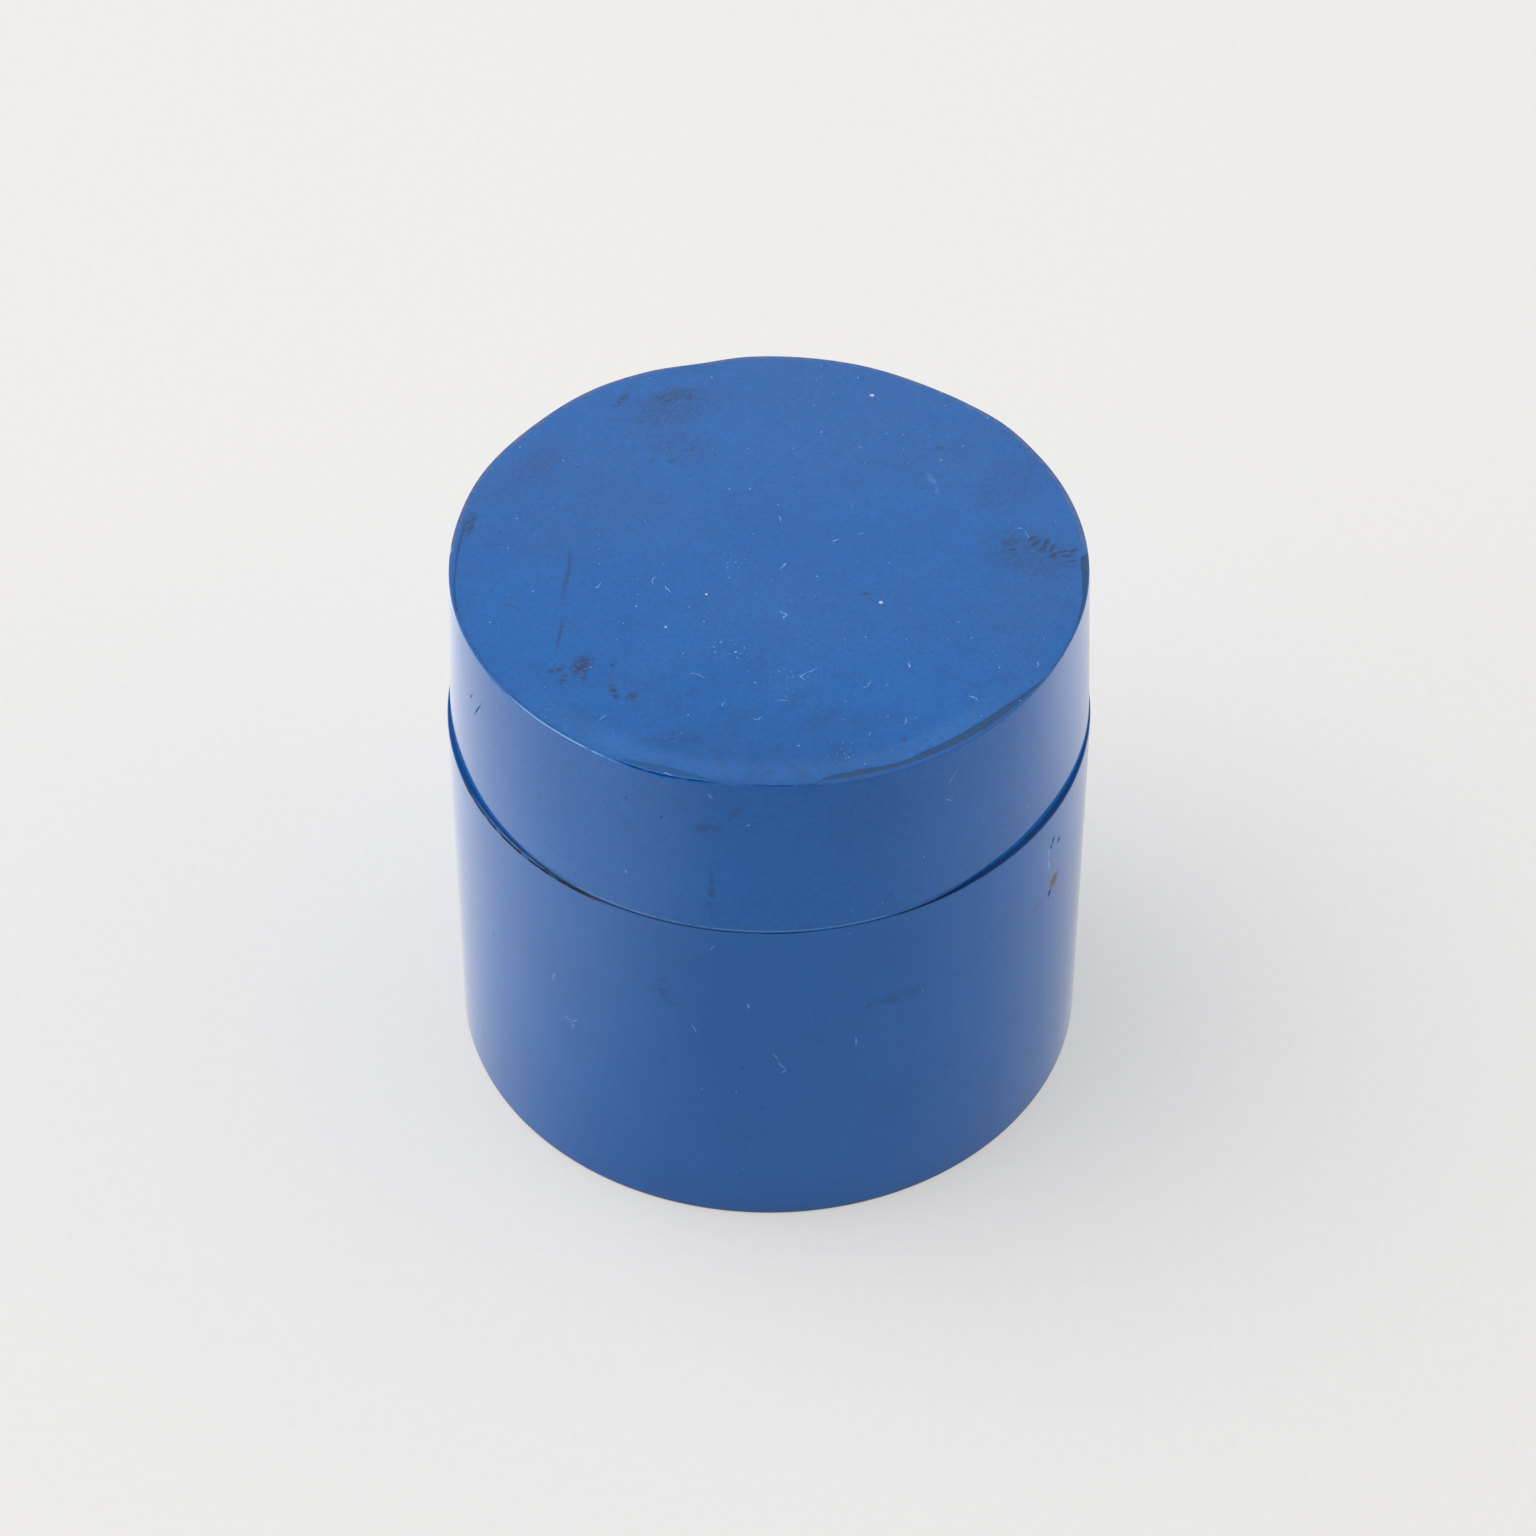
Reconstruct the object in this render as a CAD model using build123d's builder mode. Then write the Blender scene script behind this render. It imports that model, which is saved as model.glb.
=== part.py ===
"""A small straight-sided ceramic jar with a slip-on lid.

The jar is one piece: foot, wall, floor, the ledge that the lid stands on and the raised neck that
keeps it there. The lid is one piece: a cap whose wall narrows a little towards its flat top. Lengths
are in millimetres, the origin is the centre of the foot and +Z is up.
"""

import os

from build123d import *

# Jar: outside sizes, thickness of the floor and height of the neck above the ledge.
body_radius = 25.0
ledge_height = 32.0
floor_thickness = 4.0
neck_wall = 1.9
neck_height = 6.0

# Lid: height from rim to top, wall at the rim, thickness of the top and how far the wall draws in towards it.
lid_height = 14.6
lid_wall = 2.2
lid_top_thickness = 3.6
lid_draw_in = 0.6

# Fit of the lid: play around the neck, and how far its rim stands back from the face of the jar.
neck_clearance = 0.3
rim_setback = 0.15

# Soft corners inside, where the jar and the lid are hollowed out.
floor_round = 3.0
ceiling_round = 2.0

# Broken edges. The bevel at the lid's mouth leads it over the neck, and clears the bevel at the neck's root.
foot_bevel = 0.3
ledge_bevel = 0.2
neck_root_bevel = 0.3
mouth_relief = 0.2
lip_bevel = min(0.5, 0.3 * neck_wall)
rim_bevel = 0.15
lid_top_bevel = 0.2
lid_mouth_bevel = neck_root_bevel + mouth_relief

# Sizes that follow from the ones above.
rim_radius = body_radius - rim_setback
lid_top_radius = rim_radius - lid_draw_in
lid_bore_radius = rim_radius - lid_wall
neck_radius = lid_bore_radius - neck_clearance
jar_bore_radius = neck_radius - neck_wall
mouth_height = ledge_height + neck_height
total_height = ledge_height + lid_height
ceiling_height = total_height - lid_top_thickness


def corner(section, radius, height):
    """The corner of a section at a radius from the axis and a height above the foot."""
    return section.vertices().sort_by_distance((radius, height))[0]


# Jar: half of its section, turned about the axis.
with BuildPart() as jar_body:
    with BuildSketch(Plane.XZ) as jar_section:
        with BuildLine():
            Polyline(
                (0, 0),
                (body_radius, 0),
                (body_radius, ledge_height),
                (neck_radius, ledge_height),
                (neck_radius, mouth_height),
                (jar_bore_radius, mouth_height),
                (jar_bore_radius, floor_thickness),
                (0, floor_thickness),
                close=True,
            )
        make_face()
        chamfer(corner(jar_section, body_radius, 0), foot_bevel)
        chamfer(corner(jar_section, body_radius, ledge_height), ledge_bevel)
        chamfer(corner(jar_section, neck_radius, ledge_height), neck_root_bevel)
        chamfer(corner(jar_section, neck_radius, mouth_height), lip_bevel)
        chamfer(corner(jar_section, jar_bore_radius, mouth_height), lip_bevel)
        fillet(corner(jar_section, jar_bore_radius, floor_thickness), floor_round)
    revolve(axis=Axis.Z)

# Lid: half of its section, standing on the ledge, turned about the same axis.
with BuildPart() as lid:
    with BuildSketch(Plane.XZ) as lid_section:
        with BuildLine():
            Polyline(
                (0, total_height),
                (lid_top_radius, total_height),
                (rim_radius, ledge_height),
                (lid_bore_radius, ledge_height),
                (lid_bore_radius, ceiling_height),
                (0, ceiling_height),
                close=True,
            )
        make_face()
        chamfer(corner(lid_section, lid_top_radius, total_height), lid_top_bevel)
        chamfer(corner(lid_section, rim_radius, ledge_height), rim_bevel)
        chamfer(corner(lid_section, lid_bore_radius, ledge_height), lid_mouth_bevel)
        fillet(corner(lid_section, lid_bore_radius, ceiling_height), ceiling_round)
    revolve(axis=Axis.Z)

os.makedirs("parts", exist_ok=True)

jar_body.part.label = "jar_body"
export_step(jar_body.part, "parts/jar_body.step")

lid.part.label = "lid"
export_step(lid.part, "parts/lid.step")
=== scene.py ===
"""Looks of a small lidded jar in deep blue glazed ceramic.

The jar and the lid are turned again as fine meshes over the same sections as the solids, with the uneven
outline, worn edge and nicks of a handmade lid. Lengths are in millimetres until a mesh is written, and angles
around the jar are in degrees from the front, positive towards +X.
"""

import math

import bpy
import numpy as np
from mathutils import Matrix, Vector


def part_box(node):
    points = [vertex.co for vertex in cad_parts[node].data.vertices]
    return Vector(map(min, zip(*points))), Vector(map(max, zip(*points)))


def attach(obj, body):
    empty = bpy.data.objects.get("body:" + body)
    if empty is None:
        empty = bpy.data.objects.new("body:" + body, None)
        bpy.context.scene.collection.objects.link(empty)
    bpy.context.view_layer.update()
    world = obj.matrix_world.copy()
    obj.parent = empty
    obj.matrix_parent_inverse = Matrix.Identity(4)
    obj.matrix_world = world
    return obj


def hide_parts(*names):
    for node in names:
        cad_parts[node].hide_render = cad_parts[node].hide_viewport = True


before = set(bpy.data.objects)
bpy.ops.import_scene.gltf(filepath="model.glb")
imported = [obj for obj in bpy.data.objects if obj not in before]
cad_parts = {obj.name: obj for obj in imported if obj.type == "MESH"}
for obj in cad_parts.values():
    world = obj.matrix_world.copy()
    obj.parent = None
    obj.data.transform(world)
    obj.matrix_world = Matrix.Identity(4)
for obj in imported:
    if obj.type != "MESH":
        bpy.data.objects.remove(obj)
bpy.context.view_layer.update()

# Outside sizes, from the frame.
MM = 0.001
jar_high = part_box("jar_body")[1]
lid_low, lid_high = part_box("lid")
body_radius = jar_high.x / MM
mouth_height = jar_high.z / MM
ledge_height = lid_low.z / MM
total_height = lid_high.z / MM
lid_height = total_height - ledge_height

# Inside sizes, as in the solids.
floor_height = 4.0
bore_radius = 20.45
neck_radius = 22.35
lid_bore_radius = 22.65
lid_mouth_bevel = 0.5
ceiling_height = 43.0

# Lengths that are rounded off on both sides of a corner.
floor_round = 3.0
lip_round = 0.6
neck_root_round = 0.4
ledge_round = 0.09
foot_round = 0.3
lid_edge_round = 0.09
rim_round = 0.07
lid_mouth_round = 0.1
ceiling_round = 2.0

# Walls turned by hand: the height of their waves, and how far these reach over the ledge and the top.
jar_unevenness = 0.015
uneven_ledge = 1.5
lid_unevenness = 0.012
uneven_top = 0.5

# Lid: how far its wall draws in, and how its top edge and its rim leave the circle.
# Each swell is an angle, a height and half of the angle that it takes up.
lid_top_radius = 24.25
lid_rim_radius = 24.9
least_rim_setback = 0.02
TOP_SWELLS = [
    (22, 0.36, 36),
    (-20, 0.26, 18),
    (-60, -0.06, 25),
    (66, -0.08, 14),
    (-115, 0.10, 14),
    (-146, 0.22, 16),
    (-167, -0.27, 10),
    (148, -0.17, 16),
    (130, 0.10, 10),
]
RIM_SWELLS = [
    (-70, -0.28, 32),
    (-48, -0.08, 20),
    (41, -0.05, 12),
    (56, -0.32, 35),
    (-5, 0.08, 42),
]

# Worn strips along the lid's top edge, as an outline.
# Each point is an angle, the width of the sound lip outside and the width of the strip.
# The edge is sound where the width of the strip is negative.
worn_depth = 0.02
worn_ease = 0.08
WORN_EDGE = [
    (-104, 0.62, -0.2),
    (-99, 0.58, 0.22),
    (-94, 0.52, 0.30),
    (-86, 0.36, 0.25),
    (-77, 0.10, 0.15),
    (-72, 0.05, -0.2),
    (-29, 0.38, -0.2),
    (-25, 0.40, 0.40),
    (-19, 0.42, 0.78),
    (-13, 0.40, 0.45),
    (-7, 0.38, -0.2),
    (6, 0.45, -0.2),
    (11, 0.48, 0.52),
    (16, 0.50, 0.72),
    (24, 0.48, 0.42),
    (29, 0.44, 0.66),
    (40, 0.30, 0.80),
    (48, 0.20, 0.68),
    (53, 0.12, 0.40),
    (58, 0.06, 0.08),
    (70, 0.04, 0.10),
    (80, 0.06, 0.30),
    (88, 0.06, 0.62),
    (91, 0.06, 0.60),
    (92.5, 0.06, -0.2),
]

# Nicks in the lid's top edge: angle, half of the angle and depth.
# A nick reaches twice its depth along the section, and cuts inwards and downwards alike.
nick_reach = 2.0
nick_slope = 0.7
NICKS = [
    (-18, 1.0, 0.08),
    (-49, 1.2, 0.06),
    (-58, 0.9, 0.06),
    (-93, 1.2, 0.10),
    (57, 0.9, 0.06),
    (64, 0.8, 0.06),
]

# Turned meshes: columns around, and distances from a corner at which a face gets an extra ring.
# The worn edge of the lid gets more rings than the other corners.
COLUMNS = 720
RING_STEPS = [0.06, 0.2, 0.6, 1.6, 3.6, 8.0, 12.0]
WORN_STEPS = [0.06, 0.12, 0.2, 0.3, 0.4, 0.5, 0.6, 0.7, 0.8, 0.9, 1.0, 1.2, 1.6, 2.4, 3.6, 5.4, 8.0, 12.0]
CORNER_STEPS = 6
degrees = np.linspace(-180.0, 180.0, COLUMNS, endpoint=False)


def wrapped(angle):
    """An angle brought between -180 and 180 degrees."""
    return (angle + 180.0) % 360.0 - 180.0


def eased(value, low, high):
    """0 below low, 1 above high and a smooth step between them."""
    share = np.clip((value - low) / (high - low), 0.0, 1.0)
    return share * share * (3.0 - 2.0 * share)


def swell(centre, half_span):
    """A bump of height 1 around an angle."""
    away = np.abs(wrapped(degrees - centre))
    return eased(half_span - away, 0.0, half_span)


def outline(radius, swells):
    """The radius around the jar, with its swells."""
    return radius + sum(height * swell(centre, half_span) for centre, height, half_span in swells)


def section_rings(corners, worn_corner=None):
    """Rings along a section: radius and height of each column, and how far along the section each ring lies.

    A corner is a radius, a height and the length that is rounded off on both sides of it. The number of the
    corner that is worn can be given. The distances of the corners themselves are returned too.
    """
    full = np.ones(COLUMNS)
    points = [np.stack([full * radius, full * height]) for radius, height, _ in corners]
    trims = [trim for _, _, trim in corners]
    steps = [RING_STEPS if trim else [] for trim in trims]
    if worn_corner is not None:
        steps[worn_corner] = WORN_STEPS
    rings = [points[0]]
    reach = [0.0]
    corner_reach = [0.0]
    start = 0.0
    for i in range(1, len(points)):
        before, here = points[i - 1], points[i]
        length = float(np.linalg.norm(here - before, axis=0).mean())
        straight_from, straight_to = trims[i - 1], length - trims[i]
        middle = 0.5 * (straight_from + straight_to)
        stops = {straight_from, straight_to}
        for step in steps[i - 1]:
            if straight_from + step < middle:
                stops.add(straight_from + step)
        for step in steps[i]:
            if straight_to - step > middle:
                stops.add(straight_to - step)
        for stop in sorted(stops):
            if start + stop > reach[-1] + 1e-6:
                rings.append(before + (here - before) * (stop / length))
                reach.append(start + stop)
        start += length
        corner_reach.append(start)
        if trims[i]:
            after = points[i + 1]
            back = rings[-1]
            ahead = here + (after - here) * (trims[i] / np.linalg.norm(after - here, axis=0))
            for k in range(1, CORNER_STEPS):
                t = k / CORNER_STEPS
                rings.append((1 - t) ** 2 * back + 2 * t * (1 - t) * here + t**2 * ahead)
                reach.append(start + trims[i] * (2 * t - 1))
    rings = np.array(rings)
    return rings[:, 0], rings[:, 1], np.array(reach), corner_reach


def turned_mesh(name, radius, height, values):
    """A closed mesh from rings whose first and last ring lie on the axis, with named values at its points."""
    turn = np.radians(degrees)
    x = radius[1:-1] * np.sin(turn)
    y = -radius[1:-1] * np.cos(turn)
    points = np.stack([x, y, height[1:-1]], axis=-1).reshape(-1, 3)
    ends = [[0.0, 0.0, height[0].mean()], [0.0, 0.0, height[-1].mean()]]
    first, last = len(points), len(points) + 1
    rows = np.arange(len(radius) - 2) * COLUMNS
    column = np.arange(COLUMNS)
    beside = (column + 1) % COLUMNS
    faces = []
    for near, far in zip(rows[:-1], rows[1:]):
        faces += np.stack([near + column, far + column, far + beside, near + beside], axis=-1).tolist()
    faces += [(first, int(a), int(b)) for a, b in zip(rows[0] + column, rows[0] + beside)]
    faces += [(last, int(b), int(a)) for a, b in zip(rows[-1] + column, rows[-1] + beside)]
    mesh = bpy.data.meshes.new(name)
    mesh.from_pydata((np.vstack([points, ends]) * MM).tolist(), [], faces)
    for key, value in values.items():
        layer = mesh.attributes.new(key, "FLOAT", "POINT")
        flat = np.append(value[1:-1].reshape(-1), [value[0].mean(), value[-1].mean()])
        layer.data.foreach_set("value", flat.astype(np.float32))
    mesh.shade_smooth()
    piece = bpy.data.objects.new(name, mesh)
    bpy.context.scene.collection.objects.link(piece)
    return piece


def wobble(radius, height, amount):
    """The slight unevenness of a wall that was turned by hand, never outside the given radius.

    It has 3, 7 and 13 waves around, which shift with the height.
    """
    turn = np.radians(degrees)
    broad = np.sin(3 * turn + 0.9 + 0.05 * height)
    middling = np.sin(7 * turn + 0.21 * height)
    fine = np.sin(13 * turn - 0.4 * height)
    return radius + amount * ((broad + middling + fine) / 3.0 - 1.0)


def make_jar():
    """The jar, turned from the middle of its floor, over the neck and the ledge, to the middle of its foot.

    The value down is the distance along the section past the ledge's outer edge.
    """
    radius, height, reach, corner_reach = section_rings(
        [
            (0.0, floor_height, 0.0),
            (bore_radius, floor_height, floor_round),
            (bore_radius, mouth_height, lip_round),
            (neck_radius, mouth_height, lip_round),
            (neck_radius, ledge_height, neck_root_round),
            (body_radius, ledge_height, ledge_round),
            (body_radius, 0.0, foot_round),
            (0.0, 0.0, 0.0),
        ]
    )
    ledge_corner = 5
    down = (reach - corner_reach[ledge_corner])[:, None] + 0.0 * radius
    outside = (down > -uneven_ledge) & (down < ledge_height)
    radius = wobble(radius, height, np.where(outside, jar_unevenness, 0.0))
    return turned_mesh("jar_shell", radius, height, {"down": down})


def make_lid():
    """The lid, turned from the middle of its top, down the wall and the rim, to the middle of its ceiling.

    The value down is the distance along the section past the top's edge, and worn is how far inside a worn
    strip a point lies.
    """
    top_radius = outline(lid_top_radius, TOP_SWELLS)
    rim_radius = np.minimum(outline(lid_rim_radius, RIM_SWELLS), body_radius - least_rim_setback)
    top_corner = 1
    radius, height, reach, corner_reach = section_rings(
        [
            (0.0, total_height, 0.0),
            (top_radius, total_height, lid_edge_round),
            (rim_radius, ledge_height, rim_round),
            (lid_bore_radius + lid_mouth_bevel, ledge_height, lid_mouth_round),
            (lid_bore_radius, ledge_height + lid_mouth_bevel, lid_mouth_round),
            (lid_bore_radius, ceiling_height, ceiling_round),
            (0.0, ceiling_height, 0.0),
        ],
        worn_corner=top_corner,
    )
    down = (reach - corner_reach[top_corner])[:, None] + 0.0 * radius
    edge_angles, lips, widths = zip(*WORN_EDGE)
    lip = np.interp(degrees, edge_angles, lips)
    width = np.interp(degrees, edge_angles, widths)
    worn = np.minimum(-down - lip, lip + width + down)
    height = height - worn_depth * eased(worn, 0.0, worn_ease)
    for centre, half_span, depth in NICKS:
        nearness = np.clip(1.0 - np.abs(down) / (nick_reach * depth), 0.0, 1.0)
        cut = depth * swell(centre, half_span) * nearness
        radius = radius - nick_slope * cut
        height = height - nick_slope * cut
    outside = (down > -uneven_top) & (down < lid_height)
    radius = wobble(radius, height, np.where(outside, lid_unevenness, 0.0))
    return turned_mesh("lid_shell", radius, height, {"down": down, "worn": worn})


def paint(red, green, blue):
    """A colour on the usual 0 to 255 scale, as the shader takes it."""
    channels = []
    for level in (red, green, blue):
        share = level / 255.0
        channels.append(share / 12.92 if share <= 0.04045 else ((share + 0.055) / 1.055) ** 2.4)
    return (*channels, 1.0)


# Colours of the glaze and of what has come off it or onto it; some of them also paint shade and highlights.
DEEP_GLAZE = paint(14, 84, 155)
LIGHT_GLAZE = paint(18, 97, 171)
POOLED_GLAZE_AND_SHADE = paint(2, 60, 124)
THIN_GLAZE_AND_HIGHLIGHT = paint(118, 160, 208)
WORN_BLUE = paint(4, 64, 115)
WORN_GREY = paint(22, 46, 70)
CHARCOAL = paint(34, 36, 42)
DIRT = paint(74, 58, 44)
OLD_EDGE = paint(118, 100, 86)
OLIVE_DIRT = paint(104, 92, 62)
FILM = paint(112, 104, 98)
DUST = paint(125, 172, 226)
SPECK = paint(8, 40, 76)
CRUMB = paint(205, 215, 225)

# Marks on the lid's top, by x and y.
# Stains, blotches and smears are x, y, half length, half width, tilt and strength.
TOP_STREAKED_STAINS = [
    (-7.6, 19.2, 3.6, 1.2, 17, 0.75),
    (-7.6, 17.8, 5.6, 2.6, 20, 0.46),
    (-7.0, 13.6, 4.4, 2.6, -35, 0.36),
    (19.9, 0.6, 4.8, 3.2, -30, 0.46),
    (-23.0, 4.2, 1.8, 0.55, 80, 0.95),
    (-18.4, 10.5, 5.2, 1.9, 52, 0.34),
    (18.8, 9.2, 5.2, 2.8, 52, 0.30),
    (-6.8, -19.5, 3.4, 1.2, 10, 0.34),
    (-14.0, -17.2, 3.2, 1.6, -40, 0.24),
]
TOP_BLOTCHES = [
    (-11.5, 18.9, 1.30, 0.40, 56, 0.75),
    (-9.1, 11.5, 0.40, 0.30, 20, 0.50),
    (-7.4, 11.6, 0.55, 0.40, 10, 0.45),
    (-6.1, 13.0, 0.60, 0.35, 40, 0.45),
    (18.4, 2.3, 0.80, 0.50, 15, 0.45),
    (-13.9, -11.5, 1.30, 0.95, 75, 1.00),
    (-13.7, -12.7, 0.75, 0.40, -70, 0.60),
    (-13.2, -10.9, 0.55, 0.35, 40, 0.75),
    (-15.8, -12.0, 0.95, 0.32, 20, 0.80),
    (-15.2, -12.9, 0.85, 0.32, 70, 0.75),
    (-11.4, -14.4, 1.20, 0.45, -72, 0.90),
    (-10.1, -14.8, 0.75, 0.55, 66, 0.75),
    (-11.5, -11.4, 0.55, 0.32, -70, 0.65),
    (13.3, 13.1, 0.45, 0.24, 0, 0.60),
    (7.3, -3.7, 0.45, 0.16, 0, 0.70),
    (9.8, -19.3, 0.40, 0.18, -10, 0.70),
]
TOP_SMEARS = [
    (12.5, 9.4, 0.95, 0.32, -65, 0.60),
    (12.9, 8.2, 0.60, 0.22, -80, 0.50),
    (6.4, 6.3, 0.90, 0.16, 85, 0.35),
]
# Scuffs, scratches, lint fibres and crumbs are x, y, length, width and tilt.
TOP_SCUFFS = [
    (20.0, 2.6, 1.4, 0.50, 40),
    (20.3, 2.0, 1.9, 0.60, 45),
    (20.8, 1.5, 1.6, 0.55, 50),
    (21.1, 2.2, 1.2, 0.50, 60),
    (21.5, 1.5, 1.6, 0.55, 65),
    (21.6, 0.7, 1.3, 0.70, 60),
    (22.3, 1.1, 1.3, 0.50, 20),
    (22.6, 0.6, 1.6, 0.50, 10),
    (23.1, 1.2, 1.2, 0.50, 35),
    (22.9, 0.0, 1.2, 0.40, 10),
    (18.5, 1.3, 1.2, 0.40, 15),
]
TOP_SCRATCHES = [
    (-15.2, -1.5, 8.6, 0.60, 86),
    (-15.7, -8.0, 6.0, 0.45, 82),
    (-19.5, -4.9, 2.6, 0.32, -22),
    (-20.7, 1.8, 2.4, 0.24, 6),
    (-20.9, -3.2, 0.5, 0.45, 0),
    (8.65, -4.80, 0.5, 0.30, -40),
]
TOP_LINT = [
    (-12.2, -17.0, 1.3, 0.08, 41),
    (-5.7, -12.4, 0.6, 0.08, 26),
    (-5.1, -12.6, 1.2, 0.08, -31),
    (-0.9, -17.2, 1.1, 0.08, 0),
    (-3.4, -15.6, 0.8, 0.08, 50),
    (-12.9, -2.8, 0.9, 0.08, 62),
    (-8.6, -2.1, 1.1, 0.08, 74),
    (-7.7, -3.1, 1.4, 0.08, -53),
    (0.8, 4.8, 0.9, 0.085, -74),
    (7.0, 3.0, 0.7, 0.08, 44),
    (5.1, 2.3, 0.5, 0.10, 14),
    (1.1, -0.6, 1.2, 0.085, 46),
    (1.1, -5.8, 0.8, 0.11, -40),
    (1.1, -6.2, 1.0, 0.10, 73),
    (2.5, -12.6, 0.9, 0.085, 51),
    (2.5, -12.8, 0.9, 0.085, -60),
    (3.1, -12.0, 0.9, 0.08, 33),
    (7.1, -13.8, 0.7, 0.08, 0),
    (7.5, -13.5, 0.9, 0.08, 68),
    (1.1, -15.2, 1.1, 0.08, -13),
    (15.0, -14.9, 1.0, 0.11, -15),
    (10.4, -11.4, 0.9, 0.08, 84),
    (19.9, -11.4, 1.0, 0.08, 79),
    (10.0, -17.4, 1.0, 0.08, 80),
    (7.4, -18.7, 0.8, 0.08, 73),
    (19.2, 3.6, 0.7, 0.08, 0),
    (19.7, 3.0, 1.2, 0.08, -73),
    (-7.3, -22.9, 0.9, 0.14, -15),
]
TOP_CRUMBS = [
    (8.4, -4.6, 0.42, 0.42, 0),
    (-7.7, -7.3, 0.26, 0.26, 0),
    (-4.7, -3.7, 0.26, 0.26, 0),
    (8.1, 19.4, 0.50, 0.40, 0),
]
# Places where fine dust lies close together, given like stains.
TOP_DUST = [
    (-2.7, -9.7, 1.8, 1.8, 0, 1.0),
    (5.5, -20.6, 1.6, 1.6, 0, 1.0),
    (-2.5, -0.1, 1.7, 1.7, 0, 0.6),
    (1.5, -13.5, 2.6, 2.6, 0, 0.4),
]

# Marks on the walls, given like those on the top but by angle and height.
LID_WALL_SCRATCHES = [
    (-66.6, 41.7, 1.6, 0.24, 56),
    (-63.7, 41.4, 4.4, 0.24, 58),
    (4.8, 40.6, 1.5, 0.08, 3),
    (13.9, 40.2, 0.5, 0.14, -38),
    (13.1, 36.4, 0.3, 0.24, 0),
    (-25.1, 43.5, 0.3, 0.26, 0),
    (-18.6, 42.6, 0.3, 0.26, 0),
    (-36.9, 34.9, 0.3, 0.20, 0),
    (21.4, 34.2, 0.3, 0.24, 0),
]
LID_WALL_STAINS = [
    (-10.0, 35.6, 3.4, 0.34, 90, 0.55),
    (-10.7, 42.3, 1.8, 0.55, 14, 0.55),
    (-6.4, 43.8, 1.7, 0.34, 61, 0.55),
]
LID_WALL_LINT = [
    (33.2, 44.0, 1.8, 0.09, 52),
    (32.5, 41.8, 0.9, 0.08, -33),
    (-10.1, 45.4, 0.7, 0.12, -61),
    (-3.7, 42.8, 0.7, 0.10, 21),
    (52.7, 35.2, 0.24, 0.24, 0),
    (-25.3, 36.0, 0.24, 0.24, 0),
]
JAR_WALL_SCRATCHES = [
    (36.0, 22.6, 3.6, 0.09, -2),
    (-58.9, 19.2, 0.5, 0.22, 80),
    (-4.6, 17.0, 0.3, 0.30, 0),
    (-1.1, 12.5, 0.3, 0.28, 0),
    (-32.5, 12.3, 0.3, 0.28, 0),
    (60.4, 29.1, 1.1, 0.60, 75),
    (59.7, 28.6, 0.7, 0.60, 30),
    (62.8, 28.2, 0.8, 0.70, 50),
    (60.1, 23.4, 1.2, 0.70, 60),
]
JAR_WALL_STAINS = [
    (-18.8, 24.8, 1.4, 0.80, 90, 0.80),
    (-17.2, 23.2, 1.1, 0.35, -20, 0.45),
    (22.9, 23.1, 3.2, 0.80, 0, 0.55),
    (17.4, 22.9, 0.8, 0.34, 13, 0.80),
    (55.6, 23.3, 0.70, 0.42, 20, 0.70),
]
JAR_WALL_CHIPS = [
    (61.4, 24.3, 0.90, 0.95, 75, 0.85),
]
JAR_WALL_LINT = [
    (-41.4, 20.7, 1.8, 0.10, 65),
    (-9.9, 30.0, 0.8, 0.10, 54),
    (-3.6, 24.1, 0.7, 0.16, -77),
    (-38.2, 16.8, 1.0, 0.11, -19),
    (-36.6, 17.0, 0.9, 0.11, 53),
    (-37.2, 16.4, 0.9, 0.11, 88),
    (-13.2, 20.8, 1.2, 0.12, -62),
    (1.1, 18.4, 1.0, 0.10, -52),
    (2.4, 17.4, 1.4, 0.10, -62),
    (2.7, 16.6, 0.8, 0.10, 39),
    (15.4, 19.2, 1.0, 0.12, -84),
    (58.9, 28.2, 1.3, 0.26, 77),
    (59.2, 26.8, 2.1, 0.26, -76),
    (61.7, 10.9, 1.1, 0.10, 40),
]


def around(marks):
    """Marks given by angle and height, with the angle turned into a distance around the wall."""
    return [(math.radians(mark[0]) * body_radius, *mark[1:]) for mark in marks]


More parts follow.
